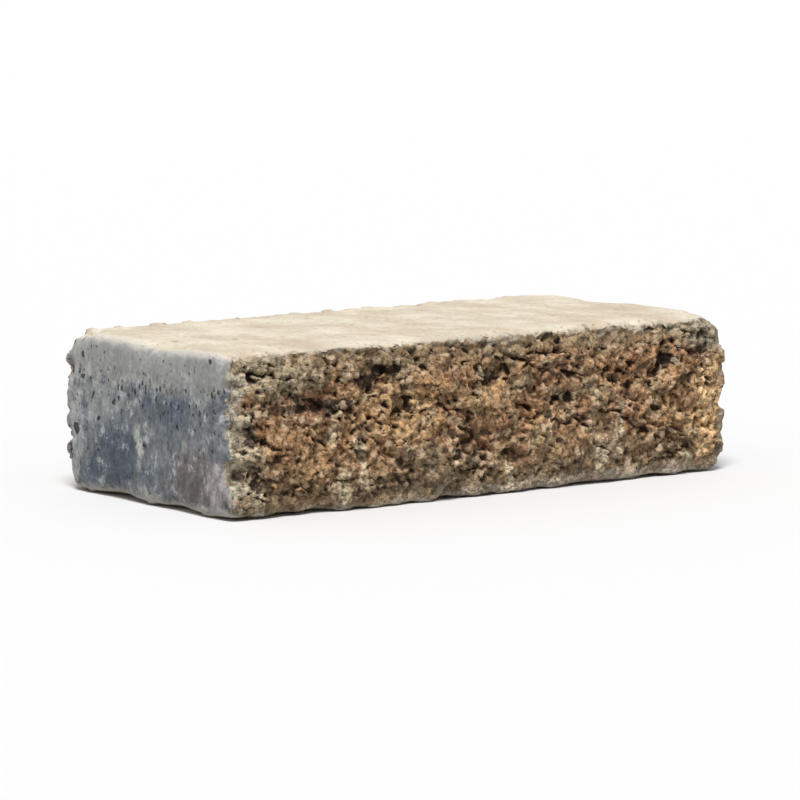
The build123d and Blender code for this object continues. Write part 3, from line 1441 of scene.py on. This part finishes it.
# Each with its middle and its reach in millimetres, its colour and its strength
FRONT_STAINS_AND_SHADE = (
    Blotch((-48, -74, 44), (36, 30, 16), "be9b6e", 0.6),
    Blotch((-6, -74, 47), (20, 30, 14), "bd9b70", 0.6),
    Blotch((135, -74, 34), (14, 30, 30), "f2ca98", 0.95),
    Blotch((-125, -74, 66), (40, 30, 13), "afa286", 0.75),
    Blotch((138, -68, 70), (26, 30, 13), "9c9582", 0.8),
    Blotch((-108, -74, 27), (38, 30, 20), "bc956b", 0.6),
    Blotch((60, -74, 2), (110, 30, 6), "c4b3a0", 0.7),
    Blotch((-150, -74, 40), (12, 40, 60), "b5ae9b", 0.85),
    Blotch((-150, 74, 40), (14, 40, 60), "b0b0aa", 0.9),
    # Painted shade: the dark patches down to the next pale one lie in the clefts and pits
    Blotch((-120, -74, 50), (15, 30, 2.2), "261715", 0.8, softness=0.35),
    Blotch((-92, -74, 51), (14, 30, 2.6), "241614", 0.9, softness=0.35),
    Blotch((-74, -74, 60), (7, 30, 4), "241614", 0.92, softness=0.35),
    Blotch((-60, -74, 65), (8, 30, 3), "241614", 0.92, softness=0.35),
    Blotch((-58, -74, 51), (3, 30, 7), "2b1a16", 0.75, softness=0.35),
    Blotch((-1, -74, 57), (8, 30, 3.6), "150e0d", 0.95, softness=0.35),
    Blotch((108, -74, 58), (8, 30, 3.2), "150e0d", 0.95, softness=0.35),
    Blotch((129, -74, 62), (10, 30, 1.8), "2b1a16", 0.7, softness=0.35),
    Blotch((119, -74, 49), (6, 30, 2.0), "2b1a16", 0.7, softness=0.35),
    Blotch((78, -74, 52), (9, 30, 1.8), "2b1a16", 0.6, softness=0.35),
    Blotch((45, -74, 44), (11, 30, 2.2), "2b1a16", 0.8, softness=0.35),
    Blotch((-140, -70, 30), (9, 20, 22), "cbbfa4", 0.6),
    # Painted shade in the two holes along the front-left arris
    Blotch((-139, -70, 39), (4, 20, 4), "2d211d", 0.85, softness=0.5),
    Blotch((-141, -70, 21), (4, 20, 3.4), "2d211d", 0.85, softness=0.5),
)

END_STAINS = (
    Blotch((-150, -45, 12), (30, 34, 24), "7f7471", 0.75),
    Blotch((-150, -58, 16), (20, 6, 16), "b8aeae", 0.65, softness=0.5),
    Blotch((-150, 38, 45), (20, 20, 14), "a9aba9", 0.75, softness=0.6),
    Blotch((-150, 30, 21), (20, 22, 15), "5f6872", 0.8, softness=0.5),
    Blotch((-150, -14, 46), (20, 26, 9), "67707a", 0.7, softness=0.5),
    Blotch((-150, 6, 33), (20, 2.8, 5.5), "cdd2c3", 0.75, softness=0.6),
    Blotch((-150, 4, 26), (20, 3.6, 5.5), "d6dacb", 0.75, softness=0.6),
    Blotch((-150, 5, 19), (20, 3, 5.5), "cbcfc1", 0.75, softness=0.6),
    Blotch((-150, 2, 7), (20, 6, 5), "bcbdb8", 0.75),
    Blotch((-150, -33, 31), (20, 3, 3.4), "bfc0bd", 0.75),
    Blotch((-150, 68, 61), (20, 4, 2.2), "e4e3de", 0.9),
    Blotch((-150, -10, 1), (20, 90, 6), "c6c4c0", 0.75),
    Blotch((-150, 72, 40), (25, 19, 55), "c0c2c0", 0.85, softness=0.4),
    Blotch((150, -72, 40), (25, 16, 70), "94856f", 0.95),
)


def main() -> None:
    """Build the block and its studio, and report each piece."""
    logging.basicConfig(level=logging.INFO, format="%(name)s: %(message)s")
    low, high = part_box(NODE)
    block = WallBlock(low, high)
    finish = TumbledConcrete(block.size, FRONT_STAINS_AND_SHADE, END_STAINS).material()
    piece = block.build(SplitRelief(), finish)
    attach(piece, "root")
    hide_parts(NODE)
    piece.data.calc_loop_triangles()
    log.info("%s: %d triangles", piece.name, len(piece.data.loop_triangles))
    Studio().set_up(block.middle)


if __name__ == "__main__":
    main()
